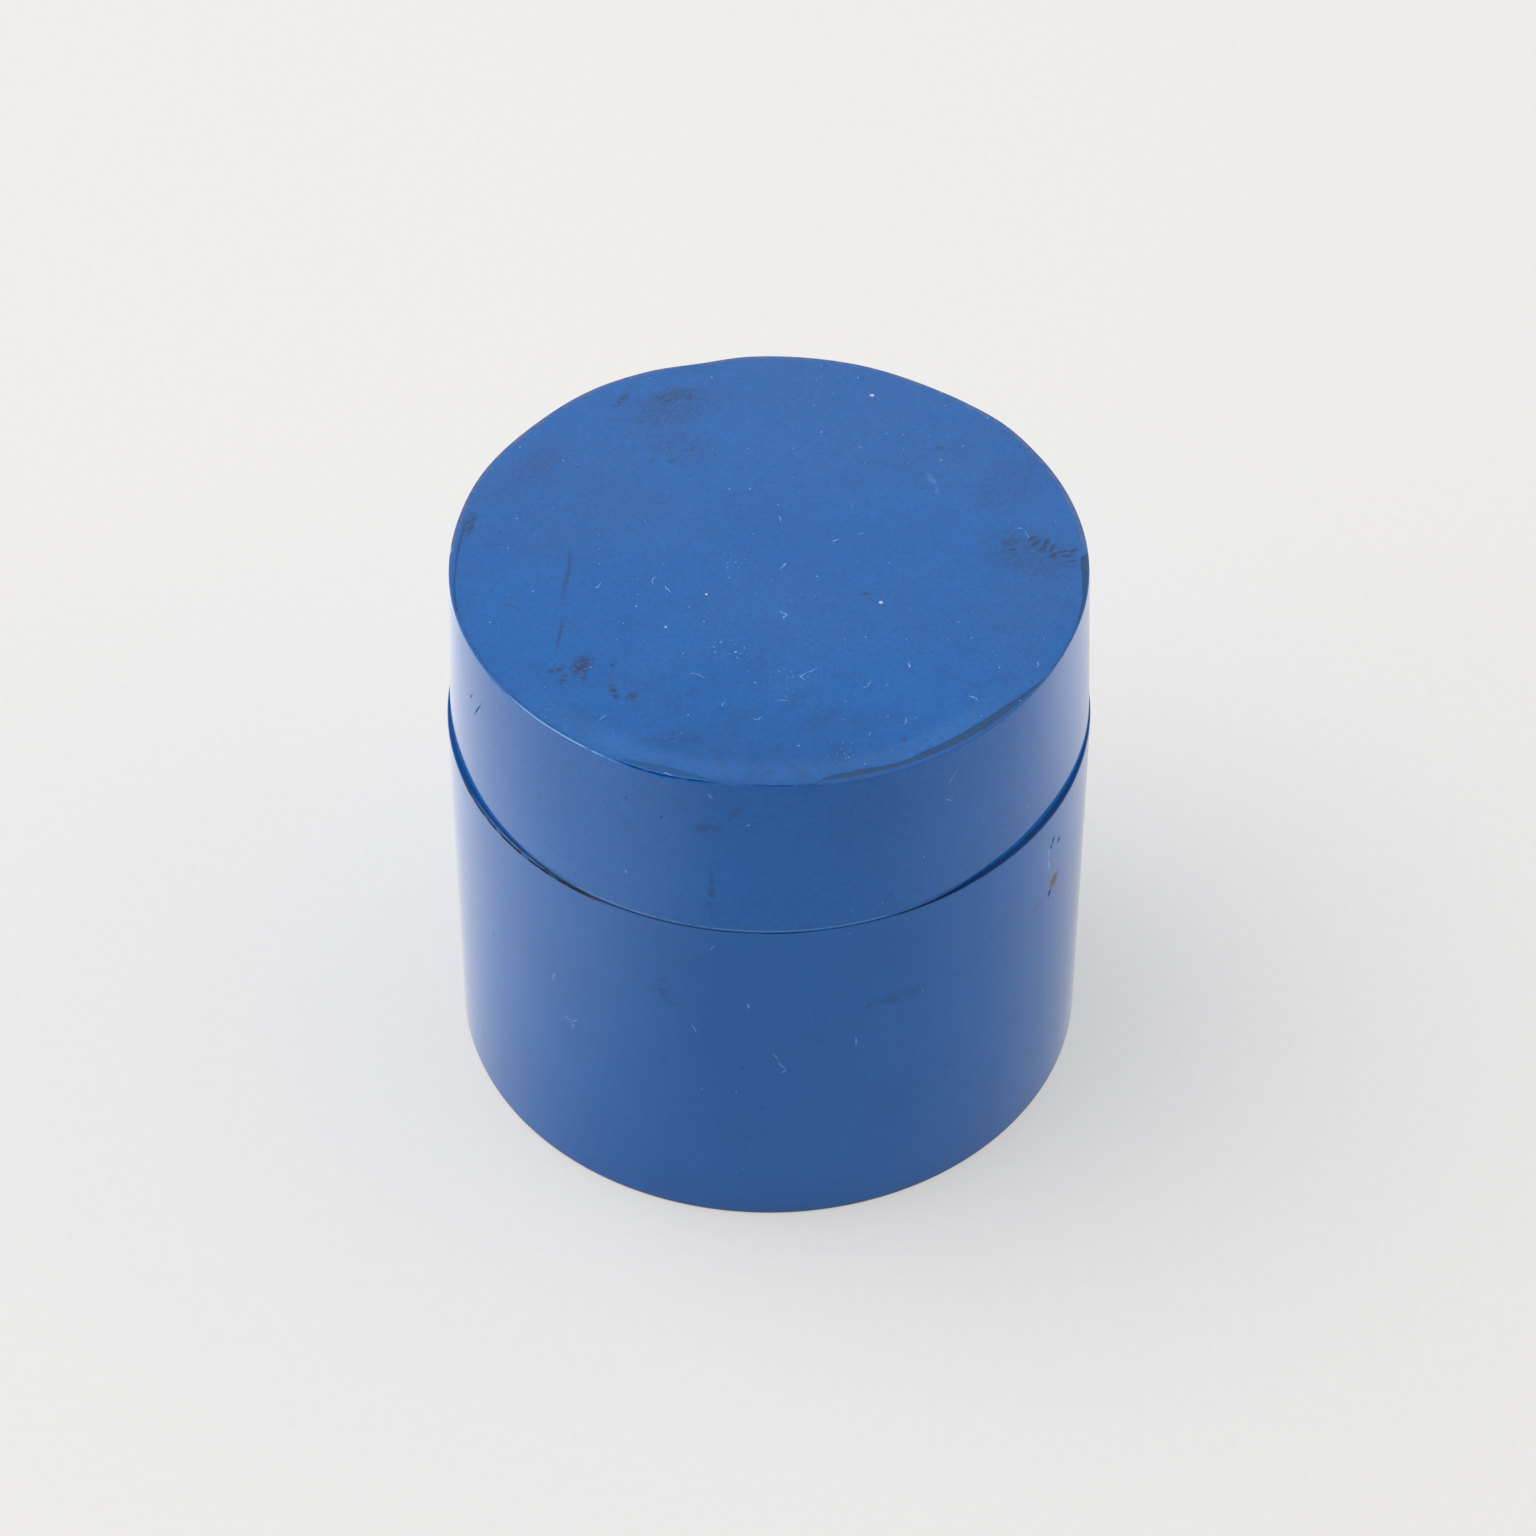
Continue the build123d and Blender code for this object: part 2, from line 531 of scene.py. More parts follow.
class Shading:
    """Short calls for the nodes of a material or of the dome."""

    def __init__(self, tree):
        self.tree = tree

    def add(self, kind, *values, out=0, **settings):
        node = self.tree.nodes.new("ShaderNode" + kind)
        for key, value in settings.items():
            setattr(node, key, value)
        for socket, value in zip(node.inputs, values):
            self.give(socket, value)
        return node.outputs[out]

    def give(self, socket, value):
        if isinstance(value, bpy.types.NodeSocket):
            self.tree.links.new(value, socket)
        elif value is not None:
            socket.default_value = value

    def math(self, operation, first, second=0.0, third=0.0):
        return self.add("Math", first, second, third, operation=operation)

    def times(self, first, second):
        return self.math("MULTIPLY", first, second)

    def most(self, masks):
        """The highest of several masks."""
        highest = masks[0]
        for mask in masks[1:]:
            highest = self.math("MAXIMUM", highest, mask)
        return highest

    def ramp(self, value, low, high):
        """0 at low, 1 at high and a smooth step between them."""
        return self.add("MapRange", value, low, high, 0.0, 1.0, interpolation_type="SMOOTHSTEP")

    def between(self, share, low, high):
        """A value as far from low to high as the share says."""
        return self.add("MapRange", share, 0.0, 1.0, low, high)

    def window(self, value, low, high, ease):
        """1 between two values, easing to 0 around both of them."""
        above = self.ramp(value, low - ease, low + ease)
        below = self.ramp(value, high + ease, high - ease)
        return self.times(above, below)

    def blend(self, share, first, second):
        node = self.tree.nodes.new("ShaderNodeMix")
        node.data_type = "RGBA"
        self.give(node.inputs["Factor"], share)
        self.give(node.inputs[6], first)
        self.give(node.inputs[7], second)
        return node.outputs[2]

    def coat(self, colour, mask, over, strength=None):
        """A colour with another one laid over it, as far as a mask and a strength say."""
        share = mask if strength is None else self.times(mask, strength)
        return self.blend(share, colour, over)

    def noise(self, place, scale, detail=2.0, out="Fac"):
        node = self.tree.nodes.new("ShaderNodeTexNoise")
        self.give(node.inputs["Vector"], place)
        node.inputs["Scale"].default_value = scale
        node.inputs["Detail"].default_value = detail
        return node.outputs[out]

    def clouds(self, place, scale, detail, low, high):
        """Patches of noise: 0 where the noise is under low, 1 where it is over high."""
        return self.ramp(self.noise(place, scale, detail), low, high)

    def strayed(self, place, scale, distance):
        """A flat place that strays to and fro, so that straight marks drawn on it bend."""
        colours = self.noise(place, scale, out="Color")
        drift = self.add("VectorMath", colours, (0.5, 0.5, 0.5), operation="SUBTRACT")
        return self.add("VectorMath", drift, (distance, distance, 0.0), place, operation="MULTIPLY_ADD")

    def drawn_out(self, place, length, width, tilt):
        """A flat place stretched in one direction, so that noise on it makes streaks."""
        turn = (0.0, 0.0, math.radians(tilt))
        return self.add("Mapping", place, None, turn, (length, width, 1.0), vector_type="TEXTURE")

    def patch(self, place, across, along, half_length, half_width, tilt):
        """1 in the middle of an ellipse, falling evenly to 0 on its edge."""
        node = self.tree.nodes.new("ShaderNodeTexGradient")
        node.gradient_type = "SPHERICAL"
        node.texture_mapping.vector_type = "TEXTURE"
        node.texture_mapping.translation = (across, along, 0.0)
        node.texture_mapping.rotation = (0.0, 0.0, math.radians(tilt))
        node.texture_mapping.scale = (half_length, half_width, 1.0)
        self.give(node.inputs["Vector"], place)
        return node.outputs["Fac"]

    def needles(self, place, marks, soft=0.65):
        """Thin marks, each given by its place, length, width and tilt, with a soft part of their width."""
        highest = 0.0
        for across, along, length, width, tilt in marks:
            mark = self.patch(place, across, along, length / 2, width / 2, tilt)
            highest = self.math("MAXIMUM", highest, mark)
        return self.ramp(highest, 0.0, soft)

    def stains(self, place, marks, grain):
        """Uneven patches, each given by its place, half length, half width, tilt and strength."""
        faint_edge = 1.15
        full_from = 0.8
        highest = 0.0
        for across, along, half_length, half_width, tilt, strength in marks:
            near = self.patch(place, across, along, faint_edge * half_length, faint_edge * half_width, tilt)
            mark = self.add("MapRange", near, 0.0, full_from, 0.0, strength, interpolation_type="SMOOTHSTEP")
            highest = self.math("MAXIMUM", highest, mark)
        return self.times(highest, grain)

    def specks(self, place, scale, share, radii):
        """Dots scattered one to a cell over a share of the cells, with radii between two parts of a cell."""
        smallness = 3.0
        full_inside = 0.4
        cells = self.tree.nodes.new("ShaderNodeTexVoronoi")
        cells.voronoi_dimensions = "2D"
        cells.inputs["Scale"].default_value = scale
        self.give(cells.inputs["Vector"], place)
        chance = self.add("SeparateColor", cells.outputs["Color"])
        other_chance = chance.node.outputs[1]
        chosen = self.math("LESS_THAN", chance, share)
        radius = self.between(self.math("POWER", other_chance, smallness), *radii)
        ratio = self.math("DIVIDE", cells.outputs["Distance"], radius)
        return self.times(chosen, self.ramp(ratio, 1.0, full_inside))

    def value(self, name):
        return self.add("Attribute", attribute_name=name, out="Fac")

    def shader(self, kind, **inputs):
        node = self.tree.nodes.new("ShaderNode" + kind)
        for key, value in inputs.items():
            self.give(node.inputs[key.replace("_", " ").title().replace("Ior", "IOR")], value)
        return node.outputs[0]

    def output(self, surface):
        node = self.tree.nodes.new("ShaderNodeOutputMaterial")
        self.tree.links.new(surface, node.inputs["Surface"])


class Glaze(Shading):
    """Calls for the nodes of a glazed piece, with the places that its marks are given by.

    There are the place in millimetres, the flat place seen from above, the place on the unrolled wall, the
    angle around, the height and the distance down along the section.
    """

    def __init__(self, tree):
        super().__init__(tree)
        metres = self.add("TexCoord", out="Object")
        self.place = self.add("VectorMath", metres, None, None, 1.0 / MM, operation="SCALE")
        x, y, z = self.add("SeparateXYZ", self.place).node.outputs
        self.flat = self.add("CombineXYZ", x, y, 0.0)
        turn = self.math("ARCTAN2", x, self.times(y, -1.0))
        self.unrolled = self.add("CombineXYZ", self.times(turn, body_radius), z, 0.0)
        self.angle = self.math("DEGREES", turn)
        self.height = z
        self.down = self.value("down")

    def band(self, low, high, ease):
        """1 between two distances down the section."""
        return self.window(self.down, low, high, ease)

    def sector(self, low, high, ease):
        """1 between two angles."""
        return self.window(self.angle, low, high, ease)

    def strip(self, band, sector):
        """1 in a band, within a sector. Both are given by two limits and an ease."""
        return self.times(self.band(*band), self.sector(*sector))

    def blue(self, graininess):
        """Clouded blue with a fine grain, and the grain."""
        clouds = self.noise(self.place, scale=0.11, detail=3.0)
        grain = self.noise(self.place, scale=2.6, detail=3.0)
        mixed = self.math("MULTIPLY_ADD", self.math("SUBTRACT", grain, 0.5), graininess, clouds)
        return self.blend(mixed, DEEP_GLAZE, LIGHT_GLAZE), grain

    def glossy(self, colour, grain, rough, relief, dull):
        """The shader: rippled and glossy, but rough, raised or without shine where masks say so."""
        least_rough, grained_rough = 0.08, 0.13
        ripple_height = 0.012
        full_shine = 0.5
        roughness = self.math("MAXIMUM", self.between(grain, least_rough, grained_rough), rough)
        ripples = self.times(self.noise(self.place, scale=0.35, detail=1.0), ripple_height)
        bump = self.shader("Bump", strength=1.0, distance=MM, height=self.math("ADD", ripples, relief))
        shine = self.between(dull, full_shine, 0.0)
        shader = self.shader(
            "BsdfPrincipled",
            base_color=colour,
            roughness=roughness,
            ior=1.44,
            specular_ior_level=shine,
            normal=bump,
        )
        self.output(shader)


def new_material(name):
    """An empty material and its node tree."""
    material = bpy.data.materials.new(name)
    material.use_nodes = True
    material.node_tree.nodes.clear()
    return material, material.node_tree


def lid_top_wear(glaze, colour, on_top):
    """Film, stains, scuffs and scratches on the lid's top, painted shade that makes it darker towards the
    middle of its front, and a paler band along its front.

    With the colour it returns masks of the streaked and the blotched stains, and how far the top is dulled.
    """
    flat = glaze.flat
    streak_place = glaze.drawn_out(flat, length=0.8, width=0.17, tilt=45)
    streaks = glaze.clouds(streak_place, scale=1.0, detail=4.0, low=0.30, high=0.66)
    mottle = glaze.clouds(flat, scale=3.0, detail=5.0, low=0.34, high=0.55)
    streaked = glaze.times(on_top, glaze.stains(glaze.strayed(flat, 0.5, 1.4), TOP_STREAKED_STAINS, streaks))
    blotched = glaze.times(on_top, glaze.stains(glaze.strayed(flat, 1.6, 0.7), TOP_BLOTCHES, mottle))
    smeared = glaze.times(on_top, glaze.stains(glaze.strayed(flat, 1.3, 0.8), TOP_SMEARS, streaks))
    scratched = glaze.times(on_top, glaze.needles(glaze.strayed(flat, 0.3, 0.8), TOP_SCRATCHES, soft=1.0))
    scuffed = glaze.times(on_top, glaze.needles(glaze.strayed(flat, 1.6, 0.4), TOP_SCUFFS, soft=0.8))
    film = glaze.times(on_top, glaze.clouds(flat, scale=0.07, detail=4.0, low=0.42, high=0.75))
    clouded = glaze.times(on_top, glaze.clouds(flat, scale=0.5, detail=6.0, low=0.42, high=0.70))
    speckle = glaze.times(on_top, glaze.clouds(flat, scale=4.5, detail=3.0, low=0.52, high=0.70))

    away = glaze.add("SeparateXYZ", flat, out=1)
    aside = glaze.math("ABSOLUTE", glaze.add("SeparateXYZ", flat))
    forward = glaze.times(on_top, glaze.ramp(away, -11.0, -20.0))
    forward = glaze.times(forward, glaze.ramp(aside, 15.0, 3.0))
    handled = glaze.times(on_top, glaze.ramp(away, 18.0, -14.0))
    # A band along the front of the top, made a little paler.
    paler_lip = glaze.strip((-2.6, -0.6, 0.7), (-45.0, 45.0, 15.0))

    colour = glaze.coat(colour, film, FILM, strength=0.05)
    # Painted shade: the top is darker and more clouded towards the middle of its front.
    colour = glaze.coat(colour, clouded, CHARCOAL, strength=glaze.between(forward, 0.07, 0.18))
    colour = glaze.coat(colour, forward, CHARCOAL, strength=0.09)
    colour = glaze.coat(colour, speckle, CHARCOAL, strength=glaze.between(film, 0.16, 0.36))
    colour = glaze.coat(colour, paler_lip, DUST, strength=0.05)
    colour = glaze.coat(colour, streaked, CHARCOAL, strength=0.80)
    colour = glaze.coat(colour, blotched, CHARCOAL, strength=0.80)
    colour = glaze.coat(colour, scuffed, CHARCOAL, strength=0.60)
    colour = glaze.coat(colour, scratched, CHARCOAL, strength=0.45)
    colour = glaze.coat(colour, smeared, DUST, strength=0.32)
    dulled = glaze.math("MULTIPLY_ADD", handled, 0.18, glaze.times(forward, 0.08))
    return colour, streaked, blotched, dulled


def lid_wall_wear(glaze, colour, on_wall):
    """Stains and scratches on the lid's wall, and where they take its shine away."""
    mottle = glaze.clouds(glaze.unrolled, scale=1.1, detail=4.0, low=0.35, high=0.62)
    bent = glaze.strayed(glaze.unrolled, 0.4, 0.8)
    stained = glaze.times(on_wall, glaze.stains(bent, around(LID_WALL_STAINS), mottle))
    scratched = glaze.times(on_wall, glaze.needles(glaze.unrolled, around(LID_WALL_SCRATCHES)))
    colour = glaze.coat(colour, stained, CHARCOAL, strength=0.6)
    colour = glaze.coat(colour, scratched, SPECK, strength=0.3)
    return colour, glaze.most([scratched, glaze.times(stained, 0.3)])


def lid_edge_wear(glaze, colour):
    """Worn strips and lines along the lid's top edge, one partly painted highlight, painted shade along a
    groove just inside it, and masks of the strips and of that shade.
    """
    fray_width = 0.16
    fray = glaze.math("SUBTRACT", glaze.noise(glaze.place, scale=3.0, detail=3.0), 0.5)
    ragged = glaze.math("MULTIPLY_ADD", fray, fray_width, glaze.value("worn"))
    worn = glaze.ramp(ragged, -0.03, 0.05)
    worn_colour = glaze.blend(glaze.ramp(glaze.angle, -5.0, 20.0), WORN_BLUE, WORN_GREY)
    colour = glaze.coat(colour, worn, worn_colour, strength=0.62)

    broken = glaze.clouds(glaze.place, scale=0.8, detail=3.0, low=0.34, high=0.50)
    frayed = glaze.clouds(glaze.place, scale=2.2, detail=3.0, low=0.36, high=0.60)
    front_lip = glaze.strip((-0.50, 0.0, 0.05), (6.0, 48.0, 6.0))
    colour = glaze.coat(colour, front_lip, CHARCOAL, strength=0.18)
    # A broken pale line on the top edge at the left: partly thinner glaze, partly painted highlight.
    pale_line = glaze.strip((-0.11, 0.02, 0.03), (-52.0, -29.0, 6.0))
    colour = glaze.coat(colour, glaze.times(pale_line, broken), THIN_GLAZE_AND_HIGHLIGHT, strength=0.95)
    inner_line = glaze.strip((-0.34, -0.18, 0.04), (-82.0, -32.0, 5.0))
    colour = glaze.coat(colour, glaze.times(inner_line, frayed), CHARCOAL, strength=0.45)
    # Painted shade along a groove just inside the edge, on the left and weaker at the front, with less shine
    # there.
    groove_shade_left = glaze.sector(-27.0, -9.0, 4.0)
    groove_shade_front = glaze.times(glaze.sector(-5.0, 8.0, 4.0), 0.75)
    groove_shade = glaze.times(glaze.band(-0.30, -0.07, 0.03), glaze.most([groove_shade_left, groove_shade_front]))
    groove_shade = glaze.times(groove_shade, glaze.between(broken, 0.55, 1.0))
    colour = glaze.coat(colour, groove_shade, POOLED_GLAZE_AND_SHADE)
    backward = glaze.ramp(glaze.math("ABSOLUTE", glaze.angle), 84.0, 100.0)
    back_line = glaze.times(glaze.band(-0.36, 0.2, 0.10), glaze.times(backward, frayed))
    colour = glaze.coat(colour, back_line, OLD_EDGE, strength=0.42)
    return colour, worn, groove_shade


def lid_rim_wear(glaze, colour):
    """A pale line along the lid's rim that is partly painted highlight, painted shade where the rim stands on
    the ledge and on the wall above narrow parts of the gap, and where these take its shine away.
    """
    broken = glaze.clouds(glaze.place, scale=0.8, detail=3.0, low=0.34, high=0.50)
    # A pale line along the rim's lower edge: partly thinner glaze, partly painted highlight.
    rim_line = glaze.band(lid_height - 0.24, lid_height - 0.11, 0.03)
    rim_line = glaze.times(rim_line, glaze.times(broken, glaze.ramp(glaze.angle, 24.0, 18.0)))
    colour = glaze.coat(colour, rim_line, THIN_GLAZE_AND_HIGHLIGHT, strength=0.3)
    # Painted shade on the lid's wall just above its rim, where the gap to the ledge is narrow.
    narrow = glaze.most([glaze.sector(-74.0, -36.0, 7.0), glaze.sector(28.0, 44.0, 6.0)])
    shaded = glaze.times(glaze.band(lid_height - 0.40, lid_height, 0.22), narrow)
    colour = glaze.coat(colour, shaded, POOLED_GLAZE_AND_SHADE, strength=0.7)
    # Painted shade where the rim stands on the ledge, weaker at the front right.
    seat_share = glaze.between(glaze.sector(6.0, 20.0, 4.0), 0.8, 0.2)
    seat_shade = glaze.times(glaze.band(lid_height - 0.02, lid_height + 0.5, 0.03), seat_share)
    colour = glaze.coat(colour, seat_shade, CHARCOAL)
    return colour, glaze.most([seat_shade, glaze.times(shaded, 0.5)])


def lid_dust(glaze, colour, on_top, on_wall):
    """Dark specks, lint, dust and crumbs on the lid."""
    flat, unrolled = glaze.flat, glaze.unrolled
    dark_top = glaze.times(on_top, glaze.specks(flat, scale=1.2, share=0.40, radii=(0.03, 0.11)))
    dark_wall = glaze.times(on_wall, glaze.specks(unrolled, scale=0.52, share=0.45, radii=(0.02, 0.07)))
    colour = glaze.coat(colour, glaze.most([dark_top, dark_wall]), SPECK, strength=0.60)

    lint = glaze.times(on_top, glaze.needles(glaze.strayed(flat, 1.3, 0.8), TOP_LINT))
    wall_lint = glaze.needles(glaze.strayed(unrolled, 0.9, 0.5), around(LID_WALL_LINT))
    wall_lint = glaze.times(glaze.times(on_wall, wall_lint), 0.7)
    gathered = glaze.times(on_top, glaze.stains(flat, TOP_DUST, 1.0))
    fine_dust = glaze.times(gathered, glaze.specks(flat, scale=1.9, share=0.65, radii=(0.09, 0.26)))
    stray_dust = glaze.times(on_top, glaze.specks(flat, scale=0.6, share=0.50, radii=(0.012, 0.055)))
    wall_dust = glaze.times(on_wall, glaze.specks(unrolled, scale=0.35, share=0.25, radii=(0.008, 0.03)))
    dust = glaze.most([lint, wall_lint, fine_dust, stray_dust, wall_dust])
    colour = glaze.coat(colour, dust, DUST, strength=0.90)
    crumbs = glaze.times(on_top, glaze.needles(flat, TOP_CRUMBS))
    return glaze.coat(colour, crumbs, CRUMB, strength=0.75)


def lid_glaze():
    """The lid's glaze: satin and scuffed on the top, glossy on the wall, worn along the top's edge."""
    material, tree = new_material("lid_glaze")
    glaze = Glaze(tree)
    on_top = glaze.ramp(glaze.down, 0.02, -0.02)
    on_wall = glaze.band(0.05, lid_height - 0.05, 0.05)
    colour, grain = glaze.blue(graininess=1.7)
    colour, streaked, blotched, dulled_top = lid_top_wear(glaze, colour, on_top)
    colour, wall_marks = lid_wall_wear(glaze, colour, on_wall)
    colour, worn, groove_shade = lid_edge_wear(glaze, colour)
    colour, rim_shades = lid_rim_wear(glaze, colour)
    colour = lid_dust(glaze, colour, on_top, on_wall)

    satin_roughness = 0.30
    scuffed_roughness = 0.5
    scuff_height = 0.012
    scuffed = glaze.most([streaked, blotched, worn])
    satin = glaze.times(on_top, satin_roughness)
    rough = glaze.most([satin, glaze.times(scuffed, scuffed_roughness)])
    relief = glaze.times(glaze.times(scuffed, grain), scuff_height)
    dull = glaze.most([groove_shade, rim_shades, glaze.times(worn, 0.3), dulled_top, wall_marks])
    glaze.glossy(colour, grain, rough, relief, dull)
    return material


def jar_inner_wear(glaze, colour):
    """Glaze pooled on the jar's floor and rubbed on its neck, and a mask of the rubs."""
    inside = glaze.ramp(glaze.down, -9.5, -10.5)
    pooled_and_shade = glaze.times(inside, glaze.ramp(glaze.height, 11.0, floor_height))
    colour = glaze.coat(colour, pooled_and_shade, POOLED_GLAZE_AND_SHADE, strength=0.6)
    rub_place = glaze.drawn_out(glaze.unrolled, length=5.0, width=0.22, tilt=0)
    rub_lines = glaze.clouds(rub_place, scale=1.0, detail=4.0, low=0.48, high=0.68)
    rubbed = glaze.times(glaze.band(-8.6, -3.0, 0.4), rub_lines)
    colour = glaze.coat(colour, rubbed, FILM, strength=0.30)
    return colour, rubbed


def jar_wall_wear(glaze, colour, on_wall):
    """Smears, chips and scratches on the jar's wall, each also as a mask."""
    mottle = glaze.clouds(glaze.unrolled, scale=1.1, detail=4.0, low=0.35, high=0.62)
    bent = glaze.strayed(glaze.unrolled, 0.8, 0.6)
    stained = glaze.times(on_wall, glaze.stains(bent, around(JAR_WALL_STAINS), mottle))
    chipped = glaze.times(on_wall, glaze.stains(bent, around(JAR_WALL_CHIPS), 1.0))
    scratched = glaze.times(on_wall, glaze.needles(glaze.unrolled, around(JAR_WALL_SCRATCHES)))
    colour = glaze.coat(colour, stained, CHARCOAL, strength=0.45)
    colour = glaze.coat(colour, chipped, OLIVE_DIRT)
    colour = glaze.coat(colour, scratched, SPECK, strength=0.3)
    return colour, stained, chipped, scratched


def jar_ledge_wear(glaze, colour):
    """Painted shade on the ledge under the lid and where the lid sits on it, a pale line that is partly
    painted highlight, dark lines and dirt along the ledge, a mask of the dirt, and where the shine is gone.
    """
    broken = glaze.clouds(glaze.place, scale=0.9, detail=3.0, low=0.34, high=0.52)
    frayed = glaze.clouds(glaze.place, scale=2.2, detail=3.0, low=0.34, high=0.58)
    # Painted shade on the ledge under the lid, deeper on the left, with less shine there.
    on_ledge = glaze.band(-2.6, -0.04, 0.04)
    pooled_and_shade = glaze.between(glaze.ramp(glaze.angle, -10.0, 10.0), 0.72, 0.24)
    colour = glaze.coat(colour, on_ledge, POOLED_GLAZE_AND_SHADE, strength=pooled_and_shade)
    # More painted shade on the ledge where the gap under the lid is narrow.
    narrow = glaze.most([glaze.sector(-54.0, -30.0, 7.0), glaze.sector(22.0, 44.0, 6.0)])
    colour = glaze.coat(colour, glaze.times(on_ledge, narrow), CHARCOAL, strength=0.35)
    # A pale line near the ledge's outer edge on the left: partly thinner glaze, partly painted highlight.
    pale_line = glaze.strip((-0.20, -0.07, 0.03), (-64.0, -32.0, 6.0))
    pale_line = glaze.times(pale_line, glaze.between(frayed, 0.4, 1.0))
    colour = glaze.coat(colour, pale_line, THIN_GLAZE_AND_HIGHLIGHT, strength=0.42)
    under_ledge = glaze.strip((-0.02, 0.22, 0.05), (-72.0, -30.0, 5.0))
    under_ledge = glaze.times(under_ledge, glaze.between(broken, 0.6, 1.0))
    colour = glaze.coat(colour, under_ledge, CHARCOAL)
    # Painted shade in the gap where the lid sits on the ledge.
    seat_left = glaze.times(glaze.sector(-44.0, -3.0, 6.0), 0.70)
    seat_front = glaze.times(glaze.sector(-1.0, 6.0, 3.0), 0.85)
    seat_right = glaze.times(glaze.sector(22.0, 36.0, 1.5), 0.55)
    seat_shade = glaze.times(glaze.band(-0.6, 0.06, 0.03), glaze.most([seat_left, seat_front, seat_right]))
    colour = glaze.coat(colour, seat_shade, CHARCOAL)

    rust = glaze.times(glaze.strip((-0.04, 0.14, 0.05), (-33.0, -30.5, 1.0)), 0.7)
    right_dirt = glaze.strip((-0.34, 0.0, 0.05), (42.0, 66.0, 6.0))
    right_dirt = glaze.times(glaze.times(right_dirt, frayed), 0.7)
    grimy = glaze.most([rust, right_dirt])
    colour = glaze.coat(colour, grimy, DIRT, strength=0.75)
    return colour, grimy, glaze.most([seat_shade, glaze.times(on_ledge, 0.35), under_ledge])


def jar_foot_wear(glaze, colour):
    """Dirt around the edge of the foot and rubs under it, each also as a mask."""
    under_foot = glaze.ramp(glaze.down, ledge_height + 0.4, ledge_height + 1.6)
    foot_line = glaze.ramp(glaze.down, ledge_height - 0.50, ledge_height - 0.15)
    foot_line = glaze.times(foot_line, glaze.between(under_foot, 1.0, 0.1))
    grimy = glaze.times(foot_line, 0.6)
    colour = glaze.coat(colour, grimy, DIRT, strength=0.75)
    drag_place = glaze.drawn_out(glaze.flat, length=1.6, width=0.3, tilt=25)
    drags = glaze.clouds(drag_place, scale=1.0, detail=5.0, low=0.46, high=0.64)
    frayed = glaze.clouds(glaze.place, scale=2.2, detail=3.0, low=0.34, high=0.58)
    standing = glaze.times(glaze.band(ledge_height + 1.2, ledge_height + 5.0, 1.0), frayed)
    rubbed = glaze.times(under_foot, glaze.most([glaze.times(drags, 0.5), standing]))
    colour = glaze.coat(colour, rubbed, FILM, strength=0.40)
    return colour, grimy, rubbed


def jar_dust(glaze, colour, on_wall):
    """Dark specks, lint and dust on the jar's wall."""
    dark = glaze.times(on_wall, glaze.specks(glaze.unrolled, scale=0.55, share=0.5, radii=(0.02, 0.07)))
    colour = glaze.coat(colour, dark, SPECK, strength=0.55)
    lint = glaze.times(on_wall, glaze.needles(glaze.strayed(glaze.unrolled, 0.8, 0.6), around(JAR_WALL_LINT)))
    dust = glaze.times(on_wall, glaze.specks(glaze.unrolled, scale=0.35, share=0.3, radii=(0.008, 0.03)))
    return glaze.coat(colour, glaze.most([lint, dust]), DUST, strength=0.60)


def jar_glaze():
    """The jar's glaze: glossy, with a few chips and smears, dirt along ledge and foot, and a rubbed neck."""
    material, tree = new_material("jar_glaze")
    glaze = Glaze(tree)
    on_wall = glaze.band(0.05, ledge_height - 0.05, 0.05)
    colour, grain = glaze.blue(graininess=0.9)
    colour, neck_rubs = jar_inner_wear(glaze, colour)
    colour, stained, chipped, scratched = jar_wall_wear(glaze, colour, on_wall)
    colour, ledge_dirt, ledge_dull = jar_ledge_wear(glaze, colour)
    colour, foot_dirt, foot_rubs = jar_foot_wear(glaze, colour)
    colour = jar_dust(glaze, colour, on_wall)

    rubbed_roughness = 0.4
    dirt_roughness = 0.5
    chip_roughness = 0.6
    pit_height = -0.02
    grimy = glaze.most([ledge_dirt, foot_dirt])
    matt = glaze.times(glaze.most([neck_rubs, foot_rubs, stained]), rubbed_roughness)
    dirty = glaze.times(grimy, dirt_roughness)
    rough = glaze.most([matt, dirty, glaze.times(chipped, chip_roughness)])
    relief = glaze.times(glaze.most([chipped, glaze.times(grimy, grain)]), pit_height)
    dull = glaze.most([ledge_dull, scratched, glaze.times(stained, 0.3), glaze.times(chipped, 0.6)])
    glaze.glossy(colour, grain, rough, relief, dull)
    return material


# Pieces, each on its body and over its solid.
for make, finish, body, node, slot in (
    (make_jar, jar_glaze, "jar", "jar_body", "jar_glaze"),
    (make_lid, lid_glaze, "lid", "lid", "lid_glaze"),
):
    piece = make()
    piece.data.materials.append(finish())
    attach(piece, body)
    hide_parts(node)

# Floor: pale paper, in metres. It shows a little paler to the camera and in reflections than its own shade.
floor_half = 1.5
floor_lift = 0.53
paper_grain = 900.0
paper_shades = (paint(230, 229, 228), paint(234, 233, 232))
# Its brightness in reflections changes everywhere by a base, and at the left and right of the jar by more:
# each side has a value for the part in front and one for the part behind.
base_sheen = -0.25
left_sheen = (0.56, 0.75)
right_sheen = (0.20, 0.71)


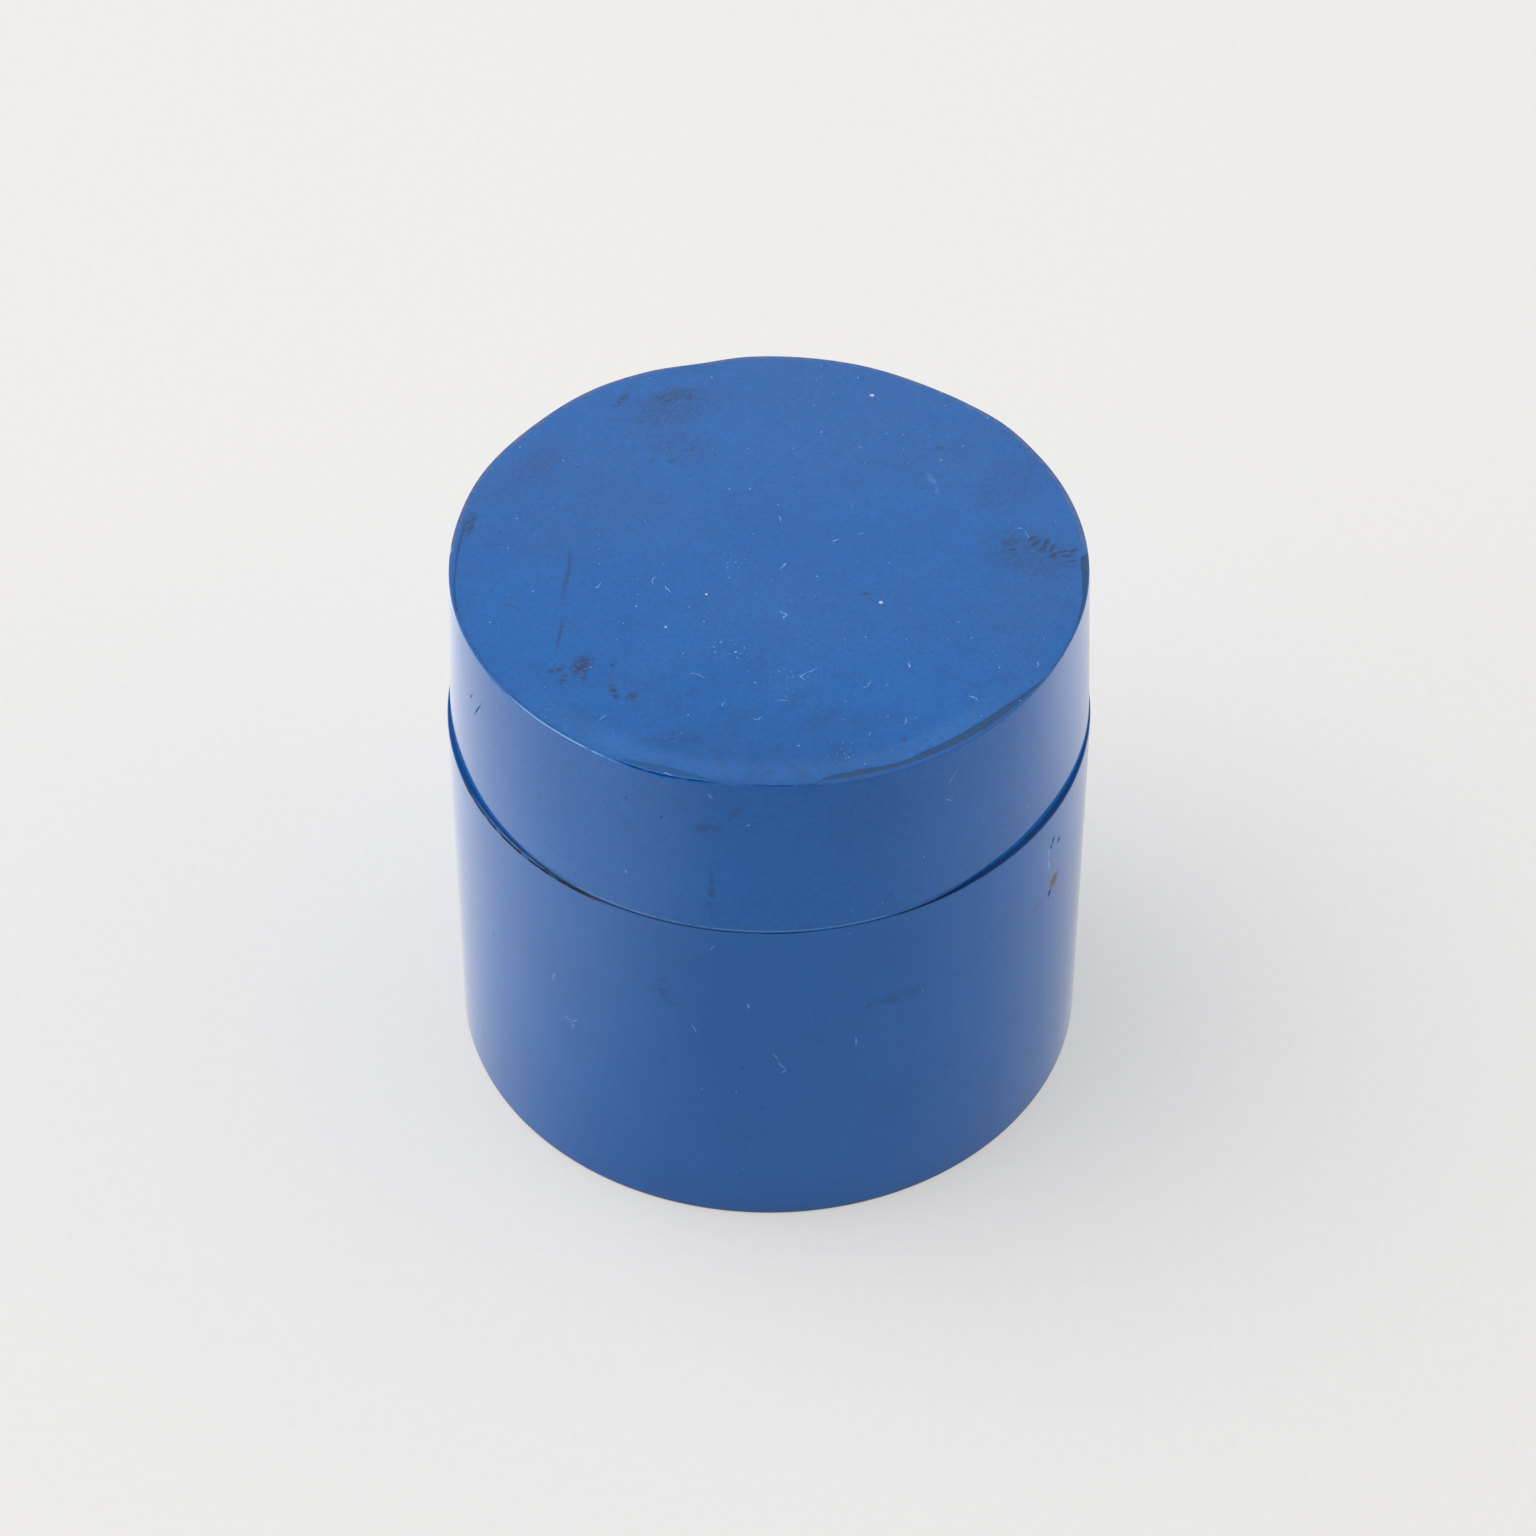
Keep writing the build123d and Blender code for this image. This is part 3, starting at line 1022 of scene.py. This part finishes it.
def floor_paper():
    material, tree = new_material("floor_paper")
    paper = Shading(tree)
    place = paper.add("TexCoord", out="Object")
    colour = paper.blend(paper.noise(place, scale=paper_grain, detail=3.0), *paper_shades)
    across, along, _ = paper.add("SeparateXYZ", place).node.outputs
    left_level = paper.between(paper.ramp(along, -0.06, 0.0), *left_sheen)
    left = paper.times(paper.ramp(across, -0.008, -0.045), left_level)
    right_level = paper.between(paper.ramp(along, -0.02, 0.03), *right_sheen)
    right = paper.times(paper.ramp(across, 0.02, 0.06), right_level)
    sheen = paper.math("ADD", paper.math("ADD", left, right), base_sheen)
    glossy_ray = paper.add("LightPath", out="Is Glossy Ray")
    camera_ray = paper.add("LightPath", out="Is Camera Ray")
    glow = paper.add("Emission", colour, paper.math("MULTIPLY_ADD", glossy_ray, sheen, 1.0))
    matt = paper.shader("BsdfPrincipled", base_color=colour, roughness=0.9, specular_ior_level=0.1)
    seen = paper.math("MAXIMUM", paper.times(camera_ray, floor_lift), glossy_ray)
    paper.output(paper.add("MixShader", seen, matt, glow))
    return material


floor_corners = [(x * floor_half, y * floor_half, 0.0) for x, y in ((-1, -1), (1, -1), (1, 1), (-1, 1))]
floor_mesh = bpy.data.meshes.new("floor")
floor_mesh.from_pydata(floor_corners, [], [(0, 1, 2, 3)])
floor_mesh.materials.append(floor_paper())
floor = bpy.data.objects.new("floor", floor_mesh)
bpy.context.scene.collection.objects.link(floor)

# Dome of pale light, brighter behind and at the sides, by direction.
dome_level = 0.355
dome_back = 0.95
dome_front = -0.14
dome_left = 1.55
dome_right = 1.40
world = bpy.data.worlds.new("dome")
bpy.context.scene.world = world
world.use_nodes = True
dome = Shading(world.node_tree)
across, along, up = dome.add("SeparateXYZ", dome.add("TexCoord", out="Generated")).node.outputs
low_behind = dome.times(dome.ramp(along, 0.2, 0.7), dome.ramp(up, 0.74, 0.60))
level = dome.math("MULTIPLY_ADD", low_behind, dome_back, dome_level)
level = dome.math("MULTIPLY_ADD", dome.ramp(along, -0.4, -0.95), dome_front, level)
level = dome.math("MULTIPLY_ADD", dome.ramp(across, -0.3, -0.95), dome_left, level)
level = dome.math("MULTIPLY_ADD", dome.ramp(across, 0.45, 0.95), dome_right, level)
background = world.node_tree.nodes["Background"]
background.inputs["Color"].default_value = (1.0, 1.0, 1.0, 1.0)
world.node_tree.links.new(level, background.inputs["Strength"])

# Large soft lamp above, on the left.
lamp_place = Vector((-320.0, 40.0, 750.0)) * MM
lamp_aim = Vector((0.0, 0.0, 20.0)) * MM
lamp_data = bpy.data.lights.new("soft_lamp", "AREA")
lamp_data.shape = "DISK"
lamp_data.size = 700.0 * MM
lamp_data.energy = 2.7
lamp = bpy.data.objects.new("soft_lamp", lamp_data)
bpy.context.scene.collection.objects.link(lamp)
lamp.location = lamp_place
lamp.rotation_euler = (lamp_aim - lamp_place).to_track_quat("-Z", "Y").to_euler()

# Camera: from the front, looking down at the jar.
camera_aim = Vector((-0.07, 0.0, 24.65)) * MM
camera_distance = 390.4 * MM
camera_elevation = math.radians(44.51)
camera_way = Vector((0.0, -math.cos(camera_elevation), math.sin(camera_elevation)))
camera_data = bpy.data.cameras.new("camera")
camera_data.lens = 116.1
camera_data.sensor_width = 36.0
camera = bpy.data.objects.new("camera", camera_data)
bpy.context.scene.collection.objects.link(camera)
camera.location = camera_aim + camera_distance * camera_way
camera.rotation_euler = (camera_aim - camera.location).to_track_quat("-Z", "Y").to_euler()
bpy.context.scene.camera = camera

bpy.context.scene.view_settings.view_transform = "Standard"
